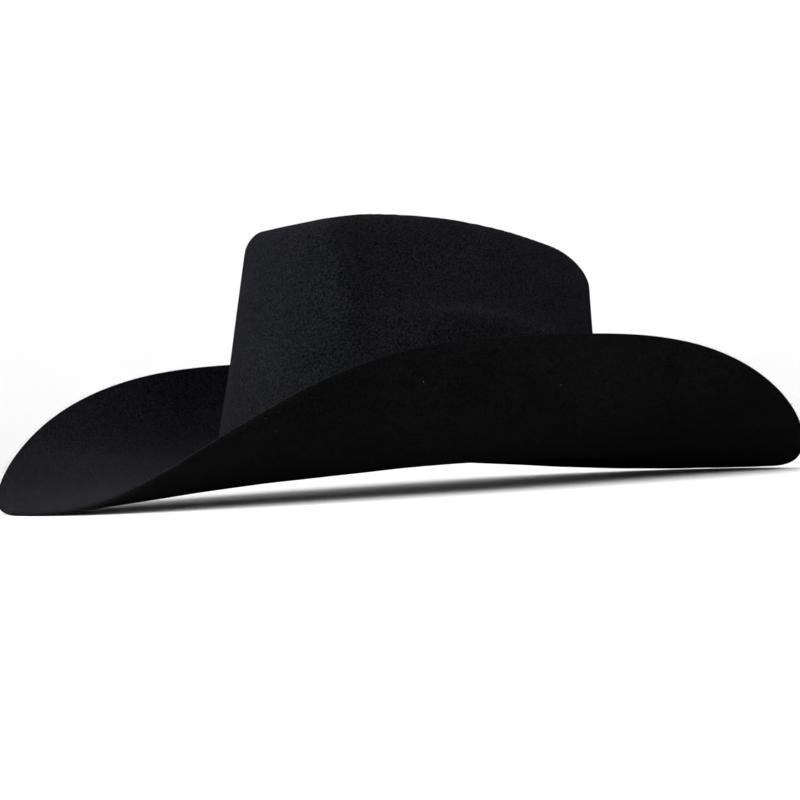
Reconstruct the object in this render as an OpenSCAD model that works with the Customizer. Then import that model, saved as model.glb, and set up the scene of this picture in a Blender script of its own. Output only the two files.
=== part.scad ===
// Western felt hat: a blocked felt body with a buckled strap round the crown,
// a sewn leather sweatband and a satin lining.
// Front is -Y, the wearer's left is +X, and the hat rests on z = 0.
// Angle phi goes round the hat: 0 is the front, 90 the wearer's left, 180 the back.

/* [Head opening] */
// half length of the crown where it meets the brim
crown_half_length = 102.5; // [96:0.5:110]
// half width of the crown where it meets the brim
crown_half_width = 86; // [81:0.5:93]
// how square the oval is, where 2 is an ellipse
oval_power = 2.45; // [2:0.05:2.8]
// radius of the bend between crown and brim
break_radius = 4; // [3:0.5:6]

/* [Crown] */
// nominal height of the crown walls
crown_height = 120; // [105:1:135]
// height of the two ridges at their highest
ridge_height = 127; // [115:0.5:140]
// where along Y the ridges are highest
ridge_peak_y = -40; // [-60:1:0]
// fall of the ridges from the peak to the front
ridge_fall_front = 7; // [2:0.5:14]
// fall of the ridges from the peak to the back
ridge_fall_back = 27.5; // [10:0.5:35]
// distance of each ridge from the middle
ridge_x = 40; // [36:1:48]
// the same at the front pinch
ridge_x_front = 34; // [28:1:40]
// depth of the centre crease
crease_depth = 32; // [15:1:40]
// depth of each side dent
dent_depth = 47; // [20:1:50]
// inward lean of the front wall, per mm of height
lean_front = 0.23; // [0.05:0.005:0.3]
// inward lean of the back wall, per mm of height
lean_back = 0; // [-0.05:0.005:0.15]
// inward lean of the side walls, per mm of height
lean_side = 0.08; // [0.03:0.005:0.15]
// corner radius at the top of the front wall
corner_front = 8; // [6:1:20]
// corner radius at the top of the back wall
corner_back = 17; // [10:1:26]
// corner radius at the top of the side walls
corner_side = 15; // [12:1:28]

/* [Brim] */
// width of the brim at the front
brim_front = 112; // [90:1:120]
// width of the brim at the back
brim_back = 105; // [90:1:120]
// width of the brim at the sides, along the curl
brim_side = 101; // [90:1:120]
// slope of the side brim at the crown, in degrees
side_root_angle = 0; // [-5:1:10]
// slope of the side brim at its edge, in degrees
side_edge_angle = 104; // [60:1:115]
// how late the side brim curls up
curl_power = 1.5; // [1:0.05:2]
// downward slopes of the front brim at crown and edge, in degrees
front_slopes = [-5.3, -5.4]; // [-12:0.1:0]
// downward slopes of the back brim at crown and edge, in degrees
back_slopes = [-7.6, -3.2]; // [-12:0.1:0]
// how low the crown's edge dips at the front
front_dip = 3.2; // [0:0.1:8]
// how low the crown's edge dips at the back
back_dip = 4.5; // [0:0.1:8]
// how narrow the curled side is, front and back
side_power = [2.9, 3.5]; // [2:0.05:4]

/* [Felt] */
// thickness of the crown felt
crown_felt = 2.2; // [1.6:0.1:3]
// thickness of the brim felt
brim_felt = 2.5; // [2:0.1:3.5]

/* [Hat band] */
// height of the strap
strap_height = 13; // [12:0.5:16]
// thickness of the strap leather
strap_thick = 1.8; // [1.2:0.1:2.2]
// height of the strap's middle above the brim
strap_mid = 11.2; // [11.2:0.2:15]
// reach of the free end behind the buckle's middle
strap_reach = 47; // [40:1:60]
// length of the tip's metal cap
tip_length = 13; // [10:1:18]
// length of the buckle, from bar to bar
buckle_length = 22; // [18:1:26]
// radius of the bar that the tongue turns on
hinge_bar_radius = 0.9; // [0.8:0.05:1.2]

/* [Sweatband and lining] */
// height of the sweatband
sweat_height = 50; // [40:1:58]
// thickness of the sweatband leather
sweat_thick = 1.2; // [0.8:0.1:1.6]
// radius of the reed
reed_radius = 1; // [0.7:0.1:1.3]
// thickness of the reed tape
tape_thick = 0.35; // [0.25:0.05:0.5]
// thickness of the lining
lining_thick = 0.5; // [0.3:0.1:0.8]
// number of stitches round the sweatband
stitch_count = 100; // [60:2:140]

/* [Hidden] */

felt_black = [0.13, 0.13, 0.15];
leather_black = [0.10, 0.09, 0.09];
steel = [0.72, 0.72, 0.70];
leather_tan = [0.47, 0.30, 0.17];
satin = [0.42, 0.40, 0.38];
thread = [0.62, 0.50, 0.34];

ridge_power_front = 1.4;
ridge_power_back = 2.2;
ridge_end = 95;             // Y, either way, where the ridge falls are counted to
crease_ends = [-68, 85];    // Y where the crease starts and stops
crease_run = 45;
dent_width = 33;
dent_front = -67;           // Y where the side dents start
dent_front_run = 16;
tip_gap = 1.3;              // clearance between the felt's top and the lining's tip
brim_shape = [0.7, curl_power];   // curl powers at the ends and at the sides
sides = 72;                 // steps round the hat
gap = 0.4;                  // clearance between the layers inside the crown
wall_rows = 5;
corner_rows = 4;
top_rows = 7;
bend_rows = 3;
brim_rows = 8;
curl_samples = 12;

// ---- helpers ----

function spow(v, e) = sign(v) * pow(abs(v), e);
function clamp01(t) = min(max(t, 0), 1);
function ease(t) = let (c = clamp01(t)) c * c * (3 - 2 * c);
function mix(a, b, t) = a + (b - a) * t;
function sum(v) = [for (i = 0, s = v[0] * 0; i <= len(v); s = s + (i < len(v) ? v[i] : v[0] * 0), i = i + 1) s][len(v)];

// ---- the head oval ----

// point on the unit oval, and the outward direction of the real oval there
function oval(phi) = [spow(sin(phi), 2 / oval_power), -spow(cos(phi), 2 / oval_power)];
function outward(phi) =
    let (o = oval(phi),
         g = [spow(o.x, oval_power - 1) / crown_half_width, spow(o.y, oval_power - 1) / crown_half_length])
    g / norm(g);
function is_front(phi) = outward(phi).y < 0;
// 1 at the sides of the hat, 0 at its front and back
function side_share(phi) = pow(abs(outward(phi).x), side_power[is_front(phi) ? 0 : 1]);
// height of the line where crown and brim meet
function break_z(phi) = -(is_front(phi) ? front_dip : back_dip) * (1 - side_share(phi));
// phi of the point on the wearer's left with the given y
function phi_at(y) = acos(-sign(y) * pow(abs(y) / crown_half_length, oval_power / 2));

// ---- brim ----

function brim_angle(phi, s) =
    let (t = side_share(phi), ends = is_front(phi) ? front_slopes : back_slopes,
         root = mix(ends[0], side_root_angle, t), edge = mix(ends[1], side_edge_angle, t))
    root + (edge - root) * pow(s, mix(brim_shape[0], brim_shape[1], t));
function brim_width(phi) = mix(is_front(phi) ? brim_front : brim_back, brim_side, side_share(phi));
// how far out and up the brim has come at share s of its width
function brim_run(phi, s) = brim_width(phi) * s / curl_samples *
    sum([for (k = [0 : curl_samples - 1]) let (a = brim_angle(phi, s * (k + 0.5) / curl_samples)) [cos(a), sin(a)]]);
function brim_point(phi, s) =
    let (o = oval(phi), n = outward(phi), r = brim_run(phi, s))
    [o.x * crown_half_width + n.x * r[0], o.y * crown_half_length + n.y * r[0], break_z(phi) + r[1]];

// ---- crown ----

// height of the ridges along y
function ridge_z(y) = ridge_height
    - ridge_fall_front * pow(max(ridge_peak_y - y, 0) / (ridge_end + ridge_peak_y), ridge_power_front)
    - ridge_fall_back * pow(max(y - ridge_peak_y, 0) / (ridge_end - ridge_peak_y), ridge_power_back);
function ridge_at(y) = mix(ridge_x_front, ridge_x, ease((y + 90) / 80));
function crease_z(x, y) =
    crease_depth * ease((crease_ends[1] - y) / crease_run) * ease((y - crease_ends[0]) / crease_run)
    * pow(sin(90 * clamp01(1 - abs(x) / ridge_at(y))), 2);
function dent_z(x, y) =
    dent_depth * ease((y - dent_front) / dent_front_run) * ease((abs(x) - ridge_at(y)) / dent_width);
function top_z(x, y) = ridge_z(y) - crease_z(x, y) - dent_z(x, y);

function corner_radius(phi) =
    mix(is_front(phi) ? corner_front : corner_back, corner_side, pow(outward(phi).x, 2));
// crown point from its share of the height (0 to 1) and its distance from the middle (1 to 0)
function crown_point(phi, up, out) =
    let (o = oval(phi), h = crown_height * up,
         x = out * o.x * (crown_half_width - lean_side * h),
         y = out * o.y * (crown_half_length - (is_front(phi) ? lean_front : lean_back) * h))
    [x, y, break_z(phi) * (1 - up) + up * top_z(x, y)];
// the same for a row: wall share w, corner turn q in degrees, top share u
function crown_row(phi, w, q, u) =
    let (r = corner_radius(phi), rz = r / crown_height, rx = r / crown_half_width)
    crown_point(phi, (1 - rz) * w + rz * sin(q), 1 - rx * (1 - cos(q)) - (1 - rx) * u);
// share of the height at which the wall is z above the break
function up_at(phi, z, up = 0.1, n = 4) =
    n == 0 ? up : let (p = crown_point(phi, up, 1)) up_at(phi, z, up * z / (p.z - break_z(phi)), n - 1);
// point at height z above the break and d out from the wall
function wall_point(phi, z, d) =
    let (p = crown_point(phi, up_at(phi, z), 1), n = outward(phi)) [p.x + n.x * d, p.y + n.y * d, p.z];

// bend between wall and brim, q from 0 on the wall to 90 on the brim
function bend_point(phi, q) =
    let (up = break_radius * (1 - sin(q)) / crown_height, n = outward(phi),
         p = crown_point(phi, up, 1), s = break_radius / brim_width(phi), out = break_radius * (1 - cos(q)))
    [p.x + n.x * out, p.y + n.y * out, p.z + brim_run(phi, s)[1] * q / 90];

// ---- the felt surface as rows of points, from the brim's edge to the top ----

phis = [for (i = [0 : sides - 1]) i * 360 / sides];
bend_share = break_radius / brim_side;
rows_brim = [for (j = [brim_rows : -1 : 1]) let (s = mix(bend_share, 1, j / brim_rows)) [for (p = phis) brim_point(p, s)]];
rows_bend = [for (j = [bend_rows : -1 : 0]) [for (p = phis) bend_point(p, 90 * j / bend_rows)]];
rows_wall = [for (j = [1 : wall_rows]) [for (p = phis) crown_row(p, mix(0.06, 1, j / wall_rows), 0, 0)]];
rows_corner = [for (j = [1 : corner_rows]) [for (p = phis) crown_row(p, 1, 90 * j / corner_rows, 0)]];
rows_top = [for (j = [1 : top_rows - 1]) [for (p = phis) crown_row(p, 1, 90, j / top_rows)]];
rows_brim_felt = concat(rows_brim, rows_bend);
rows = concat(rows_brim_felt, rows_wall, rows_corner, rows_top);
middle = [0, 0, top_z(0, 0)];
first_wall = len(rows_brim_felt);
first_corner = first_wall + wall_rows;
last = len(rows) - 1;

function around(row, i) = row[(i + sides) % sides];
function normal(j, i) =
    let (a = around(rows[j], i + 1) - around(rows[j], i - 1),
         b = around(rows[min(j + 1, last)], i) - around(rows[max(j - 1, 0)], i), n = cross(a, b))
    n / norm(n);
normals = [for (j = [0 : last]) [for (i = [0 : sides - 1]) normal(j, i)]];
// the row moved inward by depth
function inner_row(j, depth) = [for (i = [0 : sides - 1]) rows[j][i] - normals[j][i] * depth];
function felt_at(j) = mix(brim_felt, crown_felt, clamp01((j - brim_rows) / bend_rows));
inner_rows = [for (j = [0 : last]) inner_row(j, felt_at(j))];

// the seat puts the lowest point on z = 0 and the middle of the length on y = 0
lift = -min([for (r = inner_rows) for (p = r) p.z]);
long_mid = (min([for (p = rows[0]) p.y]) + max([for (p = rows[0]) p.y])) / 2;
module seat() translate([0, -long_mid, lift]) children();

// ---- solids from rings of points ----

// triangles joining ring a to ring b of n points each, given their first indices
function joined(a, b, n, open = false) =
    [for (i = [0 : n - (open ? 2 : 1)]) let (k = (i + 1) % n)
        each [[a + i, b + i, b + k], [a + i, b + k, a + k]]];
function fan(c, a, n, flip) = [for (i = [0 : n - 1]) let (k = (i + 1) % n) flip ? [c, a + k, a + i] : [c, a + i, a + k]];

// closed solid from sections set one after another, joined end to end or capped
module sweep(sections, closed) {
    n = len(sections[0]);
    m = len(sections);
    steps = closed ? m - 1 : m - 2;
    caps = closed ? [] : [[for (i = [0 : n - 1]) i], [for (i = [n - 1 : -1 : 0]) (m - 1) * n + i]];
    polyhedron([for (s = sections) each s],
               concat([for (k = [0 : steps]) each joined(k * n, ((k + 1) % m) * n, n)], caps));
}

// closed solid from rings that run from one pole to another
module between_poles(first, rings, final) {
    n = len(rings[0]);
    m = len(rings);
    polyhedron(concat([first], [for (r = rings) each r], [final]),
               concat(fan(0, 1, n, false), [for (k = [0 : m - 2]) each joined(1 + k * n, 1 + (k + 1) * n, n)],
                      fan(1 + m * n, 1 + (m - 1) * n, n, true)));
}

// shell over rows j0 to the middle of the top, between two depths
module cap_shell(j0, near, far) {
    below = [for (j = [last : -1 : j0]) inner_row(j, far)];
    above = [for (j = [j0 : last]) inner_row(j, near)];
    between_poles(middle - [0, 0, far], concat(below, above), middle - [0, 0, near]);
}

// shell over rows j0 to j1, between two depths
module side_shell(j0, j1, near, far) {
    rings = concat([for (j = [j0 : j1]) inner_row(j, far)], [for (j = [j1 : -1 : j0]) inner_row(j, near)]);
    sweep([for (i = [0 : sides - 1]) [for (r = rings) r[i]]], true);
}

// profile of [distance out from the wall, height above the break] carried round the crown
function carried(profile, phi) = [for (q = profile) wall_point(phi, q[1], q[0])];
module round_wall(profile, from = 0, to = 360) {
    closed = to - from == 360;
    steps = round((to - from) / 360 * sides);
    sweep([for (k = [0 : steps - (closed ? 1 : 0)]) carried(profile, mix(from, to, k / steps))], closed);
}
function box_profile(d0, d1, z0, z1, b = 0.2) =
    [[d0 + b, z0], [d0, z0 + b], [d0, z1 - b], [d0 + b, z1], [d1 - b, z1], [d1, z1 - b], [d1, z0 + b], [d1 - b, z0]];
function disc_profile(d, z, r, n = 10) = [for (k = [0 : n - 1]) [d - r * cos(360 * k / n), z + r * sin(360 * k / n)]];

// children stand on the wall: x out of it, y along it and z up it
module on_wall(phi, z) {
    n = outward(phi);
    low = wall_point(phi, z - 8, 0);
    high = wall_point(phi, z + 8, 0);
    turn = atan2(n.y, n.x);
    tilt = atan2((low - high) * [n.x, n.y, 0], high.z - low.z);
    translate((low + high) / 2) rotate([0, 0, turn]) rotate([0, -tilt, 0]) children();
}

module rod(a, b, r) {
    v = b - a;
    translate(a) rotate([0, acos(v.z / norm(v)), atan2(v.y, v.x)]) cylinder(h = norm(v), r = r);
}

// ---- felt ----

module felt_body() color(felt_black) seat()
    between_poles(middle - [0, 0, crown_felt], concat([for (j = [last : -1 : 0]) inner_rows[j]], rows), middle);

// ---- hat band: one strap that ends by lying over its own start ----

strap_low = 1.1;                            // the strap's distance from the felt
strap_high = 3.5;                           // the same where it lies over itself
strap_bottom = strap_mid - strap_height / 2;
strap_top = strap_mid + strap_height / 2;
heel_y = buckle_length / 2 - 1;             // the hinge bar
toe_y = heel_y - buckle_length;             // the bar that the tongue rests on
heel_d = strap_low + strap_thick / 2 + 0.2;
bar_radius = 1.1;
toe_d = strap_low + strap_thick + 0.3 + bar_radius;
rail_z = strap_height / 2 + 1.2 + bar_radius;
tongue_radius = 0.85;
barrel_radius = hinge_bar_radius + 0.85;
barrel_length = 2.6;
slot_half = 1.9;

function strap_offset(phi) =
    mix(strap_low, strap_high, ease((phi - 360 - phi_at(toe_y + 4)) / (phi_at(heel_y - 3) - phi_at(toe_y + 4))));
module hat_band() color(leather_black) seat() {
    start = phi_at(heel_y + 3);
    stop = 360 + phi_at(strap_reach);
    coarse = [for (k = [0 : sides - 12]) mix(start, 360 + 70, k / (sides - 12))];
    fine = [for (k = [1 : 20]) mix(360 + 70, stop, k / 20)];
    difference() {
        sweep([for (phi = concat(coarse, fine)) let (d = strap_offset(phi))
               carried(box_profile(d, d + strap_thick, strap_bottom, strap_top), phi)], false);
        on_wall(90, strap_mid) hull() for (y = [toe_y + 6, heel_y + 3])
            translate([strap_low - 1, y, 0]) rotate([0, 90, 0]) cylinder(h = 8, r = slot_half, $fn = 24);
    }
}

module band_buckle() color(steel) seat() on_wall(90, strap_mid) {
    for (z = [-rail_z, rail_z]) {
        rod([heel_d, heel_y, z], [toe_d, toe_y, z], bar_radius, $fn = 32);
        translate([heel_d, heel_y, z]) sphere(bar_radius, $fn = 32);
        translate([toe_d, toe_y, z]) sphere(bar_radius, $fn = 32);
    }
    rod([toe_d, toe_y, -rail_z], [toe_d, toe_y, rail_z], bar_radius, $fn = 32);
    rod([heel_d, heel_y, -rail_z], [heel_d, heel_y, rail_z], hinge_bar_radius, $fn = 32);
}

module buckle_tongue() color(steel) seat() on_wall(90, strap_mid) {
    rest_d = toe_d + bar_radius + tongue_radius + 0.3;
    rise = [(rest_d - heel_d) / (heel_y - toe_y), -1, 0];
    hinge = [heel_d, heel_y, 0];
    // the barrel goes round the bar, and the prong starts in the barrel's wall
    difference() {
        translate(hinge - [0, 0, barrel_length / 2]) cylinder(h = barrel_length, r = barrel_radius, $fn = 64);
        translate(hinge - [0, 0, barrel_length]) cylinder(h = 2 * barrel_length, r = hinge_bar_radius + 0.08, $fn = 64);
    }
    rod(hinge + rise * (hinge_bar_radius + 0.4), hinge + rise * (buckle_length + 2), tongue_radius, $fn = 64);
}

module band_keeper() color(steel) seat() on_wall(phi_at(25), strap_mid) {
    near = 0.3;
    far = strap_high + strap_thick + 1.1;
    half = strap_height / 2 + 0.8;
    wall = 0.6;
    difference() {
        translate([near, -3.5, -half - wall]) cube([far - near, 7, 2 * (half + wall)]);
        translate([near + wall, -5, -half]) cube([far - near - 2 * wall, 10, 2 * half]);
    }
}

module band_tip() color(steel) seat() {
    near = strap_high - 0.4;
    far = strap_high + strap_thick + 0.5;
    half = strap_height / 2 + 0.9;
    y0 = strap_reach - 4;
    difference() {
        sweep([for (k = [0 : 10]) let (h = half - 6 * pow(k / 10, 3))
               carried(box_profile(near, far, strap_mid - h, strap_mid + h, 0.3), phi_at(y0 + tip_length * k / 10))], false);
        sweep([for (k = [0 : 3])
               carried(box_profile(near + 0.25, far - 0.3, strap_bottom - 0.2, strap_top + 0.2, 0.1),
                       phi_at(y0 - 1 + 5.5 * k / 3))], false);
    }
}

// ---- sweatband ----

felt_inside = -crown_felt - gap;                // outward distances are counted from the crown's outside
reed_d = felt_inside - tape_thick - 0.15 - reed_radius;
reed_z = 2.4;
tape_top = 13;
sweat_out = reed_d + sweat_thick / 2;
sweat_in = reed_d - sweat_thick / 2;
sweat_bottom = reed_z + reed_radius + 0.3;
stitch_radius = 0.3;
seam_half = 0.15;                               // half of the slit between the two ends, in degrees

module sweatband() color(leather_tan) seat()
    round_wall(box_profile(sweat_in, sweat_out, sweat_bottom, sweat_height), 180 + seam_half, 540 - seam_half);

module sweatband_reed() color([0.85, 0.85, 0.82]) seat() round_wall(disc_profile(reed_d, reed_z, reed_radius));

// woven strip that goes up behind the sweatband, round the reed and up in front of it
module reed_tape() color([0.16, 0.15, 0.15]) seat() {
    inner = reed_radius + 0.15;
    outer = inner + tape_thick;
    turns = [for (k = [0 : 4]) 45 * k];
    round_wall(concat([for (a = turns) [reed_d + outer * cos(a), reed_z - outer * sin(a)]],
                      [[reed_d - outer, sweat_bottom + 2], [reed_d - inner, sweat_bottom + 2]],
                      [for (a = turns) [reed_d - inner * cos(a), reed_z - inner * sin(a)]],
                      [[reed_d + inner, tape_top], [reed_d + outer, tape_top]]));
}

module sweatband_stitching() color(thread) seat()
    for (k = [0 : stitch_count - 1]) {
        a = wall_point((k + 0.15) * 360 / stitch_count, 8.5, sweat_in - stitch_radius - 0.35);
        b = wall_point((k + 0.85) * 360 / stitch_count, 8.5, sweat_in - stitch_radius - 0.35);
        rod(a, b, stitch_radius, $fn = 16);
    }

module sweatband_seam() color(thread) seat()
    for (k = [0 : 7]) {
        z = 15 + 4 * k;
        a = wall_point(179, z, sweat_in - stitch_radius - 0.15);
        b = wall_point(181, z + 2.4, sweat_in - stitch_radius - 0.15);
        rod(a, b, stitch_radius, $fn = 16);
    }

module sweatband_bow() color([0.16, 0.15, 0.15]) seat()
    translate(wall_point(180, 5, sweat_in - 2.4)) rotate([-90, 0, 0]) {
        for (s = [-1, 1]) hull() {
            translate([s * 2.2, 0, 0]) cylinder(h = 1, r = 0.9, $fn = 24);
            translate([s * 9, 0, 0]) cylinder(h = 1, r = 2.6, $fn = 24);
        }
        translate([-1.2, -1.8, -0.4]) cube([2.4, 3.6, 1.7]);
    }

module size_label() color([0.85, 0.83, 0.78]) seat()
    round_wall(box_profile(sweat_in - 0.5, sweat_in - 0.1, 24, 36, 0.1), 150, 170);

// ---- lining ----

lining_near = crown_felt + gap;
lining_far = lining_near + lining_thick;
tip_far = crown_felt + tip_gap + lining_thick;
piping_row = first_corner + 1;
piping_radius = 1;

module lining_sides() color(satin) seat() side_shell(first_wall + 1, piping_row - 1, lining_near, lining_far);
module lining_tip() color(satin) seat() cap_shell(piping_row + 1, crown_felt + tip_gap, tip_far);

// cord where the sides meet the tip
module lining_piping() color([0.2, 0.19, 0.19]) seat() {
    depth = lining_near + piping_radius;
    sweep([for (i = [0 : sides - 1])
           let (c = rows[piping_row][i] - normals[piping_row][i] * depth, n = normals[piping_row][i],
                t0 = around(rows[piping_row + 1], i) - around(rows[piping_row - 1], i),
                t = t0 / norm(t0))
           [for (k = [0 : 7]) c - n * piping_radius * cos(45 * k) + t * piping_radius * sin(45 * k)]], true);
}

module tip_protector() color([0.85, 0.9, 0.92, 0.4]) seat() cap_shell(last - 3, tip_far + 0.3, tip_far + 0.7);

felt_body();
hat_band();
band_buckle();
buckle_tongue();
band_keeper();
band_tip();
sweatband();
sweatband_reed();
reed_tape();
sweatband_stitching();
sweatband_seam();
sweatband_bow();
lining_sides();
lining_tip();
lining_piping();
tip_protector();
size_label();
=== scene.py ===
"""Looks of a black felt cowboy hat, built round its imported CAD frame.

Front is -Y, the wearer's left is +X, and the hat rests on z = 0. Lengths are in metres.
Angle phi goes round the hat: 0 is the front, a quarter turn the wearer's left, half a turn the back.
"""

import math

import bpy
import numpy as np
from bpy.props import FloatProperty, FloatVectorProperty, IntProperty, PointerProperty, StringProperty
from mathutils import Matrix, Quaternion, Vector


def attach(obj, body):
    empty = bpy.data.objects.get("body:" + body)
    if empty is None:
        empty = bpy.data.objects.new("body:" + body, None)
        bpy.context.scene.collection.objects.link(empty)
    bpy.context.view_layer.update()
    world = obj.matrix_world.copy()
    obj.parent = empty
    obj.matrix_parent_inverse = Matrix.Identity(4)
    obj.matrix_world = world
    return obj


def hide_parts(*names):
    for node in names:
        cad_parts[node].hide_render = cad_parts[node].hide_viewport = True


bl_info = {
    "name": "Felt cowboy hat",
    "version": (1, 0, 0),
    "blender": (4, 5, 0),
    "location": "View3D > Sidebar > Hat",
    "description": "Builds a felt cowboy hat with its band, sweatband and lining",
    "category": "Add Mesh",
}

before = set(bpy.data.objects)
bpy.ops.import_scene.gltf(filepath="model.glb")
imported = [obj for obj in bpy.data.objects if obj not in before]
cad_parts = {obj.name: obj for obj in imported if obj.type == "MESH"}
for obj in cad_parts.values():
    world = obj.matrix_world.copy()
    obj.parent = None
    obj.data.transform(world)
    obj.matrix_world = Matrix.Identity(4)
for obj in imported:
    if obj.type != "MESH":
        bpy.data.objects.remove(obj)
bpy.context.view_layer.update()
MM = 0.001

# ---- sizes of the hat, as in the CAD model ----

HALF_LENGTH, HALF_WIDTH, OVAL_POWER = 102.5 * MM, 86 * MM, 2.45
CROWN_HEIGHT, RIDGE_HEIGHT, RIDGE_PEAK_Y = 120 * MM, 127 * MM, -40 * MM
RIDGE_FALLS, RIDGE_POWERS, RIDGE_END = (7 * MM, 27.5 * MM), (1.4, 2.2), 95 * MM
RIDGE_X, RIDGE_X_FRONT = 40 * MM, 34 * MM
CREASE_ENDS, CREASE_RUN = (-68 * MM, 85 * MM), 45 * MM
DENT_WIDTH, DENT_FRONT, DENT_FRONT_RUN = 33 * MM, -67 * MM, 16 * MM
LEANS = (0.23, 0.0, 0.08)  # front, back and side walls
CORNERS = (8 * MM, 17 * MM, 15 * MM)  # the same order
BRIM_WIDTHS = (112 * MM, 105 * MM, 101 * MM)
FRONT_SLOPES, BACK_SLOPES, SIDE_SLOPES = (-5.3, -5.4), (-7.6, -3.2), (0.0, 104.0)
DIPS, SIDE_POWERS, CURL_POWERS = (3.2 * MM, 4.5 * MM), (2.9, 3.5), (0.7, 1.5)
BREAK_RADIUS = 4 * MM
CROWN_FELT, BRIM_FELT = 2.2 * MM, 2.5 * MM
SEAT = np.array([0.0, 3.4665, 16.1616]) * MM  # from the middle of the break line to the frame's origin
STRAP_MID, STRAP_HEIGHT, STRAP_THICK = 11.2 * MM, 13 * MM, 1.8 * MM
STRAP_LOW, STRAP_HIGH, STRAP_REACH = 1.1 * MM, 3.5 * MM, 47 * MM
HEEL_Y, TOE_Y, SLOT_HALF = 10 * MM, -12 * MM, 1.9 * MM
SWEAT_IN, SWEAT_OUT, SWEAT_TOP, SWEAT_BOTTOM = -4.7 * MM, -3.5 * MM, 50 * MM, 3.7 * MM
SWEAT_LEAN = 1.3 * MM  # how far its top leans in
REED_D, REED_Z, REED_RADIUS, TAPE_THICK, TAPE_TOP = -4.1 * MM, 2.4 * MM, 1.0 * MM, 0.35 * MM, 13 * MM
STITCH_RADIUS, STITCH_Z, STITCH_COUNT, SEAM_COUNT = 0.3 * MM, 8.5 * MM, 100, 8
KEEPER_Y, KEEPER_HALF = 25 * MM, 3.4 * MM
LINING_DEPTH, LINING_THICK = 2.65 * MM, 0.5 * MM
TURN = 2 * math.pi


# ---- what a user would change ----


class HatShape(bpy.types.PropertyGroup):
    """How the felt is creased and how it has been worn."""

    crease_depth: FloatProperty(
        name="Crease depth", description="Depth of the centre crease", default=0.032, min=0.015, max=0.040,
        unit="LENGTH")
    dent_depth: FloatProperty(
        name="Dent depth", description="Depth of each side dent", default=0.047, min=0.020, max=0.050,
        unit="LENGTH")
    wave: FloatProperty(
        name="Hand shaping", description="Size of the uneven waves left by shaping the felt", default=0.0007,
        min=0, max=0.002, unit="LENGTH")
    fibre_count: IntProperty(
        name="Edge fibres", description="Loose fibres along the cut edge of the brim", default=9000, min=0,
        max=20000)


class HatColours(bpy.types.PropertyGroup):
    """Colours of the materials, as sRGB hex."""

    felt: StringProperty(name="Felt", description="Colour of the felt's nap", default="#0A0A0C")
    # darker than the top felt's colour: painted shade under the brim
    felt_under_painted_shade: StringProperty(name="Felt underside", description="Colour under the brim", default="#060606")
    strap: StringProperty(name="Strap", description="Colour of the hat band leather", default="#0B0A09")
    metal: StringProperty(name="Buckle", description="Colour of the buckle's metal", default="#C9C8C2")
    sweatband: StringProperty(name="Sweatband", description="Colour of its leather", default="#8A5F3C")
    lining: StringProperty(name="Lining", description="Colour of the satin", default="#77736E")
    thread: StringProperty(name="Thread", description="Colour of the sewing thread", default="#C6A66E")


class HatStage(bpy.types.PropertyGroup):
    """Camera and lights."""

    lens: FloatProperty(
        name="Lens", description="Focal length in millimetres", default=126.125, min=20, max=300)
    roll: FloatProperty(
        name="Roll", description="Turn of the camera about its own axis", default=math.radians(3.13),
        unit="ROTATION")
    key_power: FloatProperty(
        name="Key light", description="Power of the key light", default=37, min=0, unit="POWER")
    floor: FloatVectorProperty(
        name="Floor", description="Colour of the floor", default=(0.86, 0.86, 0.86), size=3, subtype="COLOR",
        min=0, max=1)


def shape():
    return bpy.context.scene.hat_shape


def colours():
    return bpy.context.scene.hat_colours


# ---- the hat's surfaces as formulas ----


def spow(v, e):
    return np.sign(v) * np.abs(v) ** e


def ease(t):
    t = np.clip(t, 0, 1)
    return t * t * (3 - 2 * t)


def mix(a, b, t):
    return a + (b - a) * t


def round_turn(count):
    """Equal steps of angle round a full turn, without its end."""
    return np.arange(count) * TURN / count


def unit(v):
    """The vectors of an array, each scaled to length 1."""
    return v / np.linalg.norm(v, axis=-1, keepdims=True)


def oval(phi):
    """Point on a superellipse of half axes 1: sine and cosine raised to 2 / power."""
    return spow(np.sin(phi), 2 / OVAL_POWER), -spow(np.cos(phi), 2 / OVAL_POWER)


def outward(phi):
    """Unit normal of the real head oval, from the gradient of its equation."""
    x, y = oval(phi)
    gx, gy = spow(x, OVAL_POWER - 1) / HALF_WIDTH, spow(y, OVAL_POWER - 1) / HALF_LENGTH
    size = np.hypot(gx, gy)
    return gx / size, gy / size


def aside(phi, d):
    """Level vector of length d out from the wall."""
    nx, ny = outward(phi)
    return np.stack([nx * d, ny * d, 0 * nx], -1)


def at_end(phi, pair):
    """The first value on the front half of the hat and the second on the back half."""
    return np.where(outward(phi)[1] < 0, pair[0], pair[1])


def side_share(phi):
    """1 at the sides of the hat, falling to 0 at its front and back."""
    return np.abs(outward(phi)[0]) ** at_end(phi, SIDE_POWERS)


def break_z(phi):
    return -at_end(phi, DIPS) * (1 - side_share(phi))


def phi_at(y):
    """Angle of the point on the wearer's left that has this y: the oval's formula solved for phi."""
    return np.arccos(-spow(y / HALF_LENGTH, OVAL_POWER / 2))


def brim_run(phi, s, samples=24):
    """Distance out and up along the brim's section: the integral of the cosine and sine of its slope,
    which goes from the root slope to the edge slope with a power of the share s of the width."""
    t = side_share(phi)
    root = mix(at_end(phi, (FRONT_SLOPES[0], BACK_SLOPES[0])), SIDE_SLOPES[0], t)
    edge = mix(at_end(phi, (FRONT_SLOPES[1], BACK_SLOPES[1])), SIDE_SLOPES[1], t)
    width = mix(at_end(phi, BRIM_WIDTHS[:2]), BRIM_WIDTHS[2], t)
    steps = (np.arange(samples) + 0.5) / samples
    along = np.asarray(s)[..., None] * steps
    power = mix(CURL_POWERS[0], CURL_POWERS[1], t)[..., None]
    slope = np.radians(root[..., None] + (edge - root)[..., None] * along**power)
    return width * s * np.cos(slope).mean(-1), width * s * np.sin(slope).mean(-1)


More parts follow.
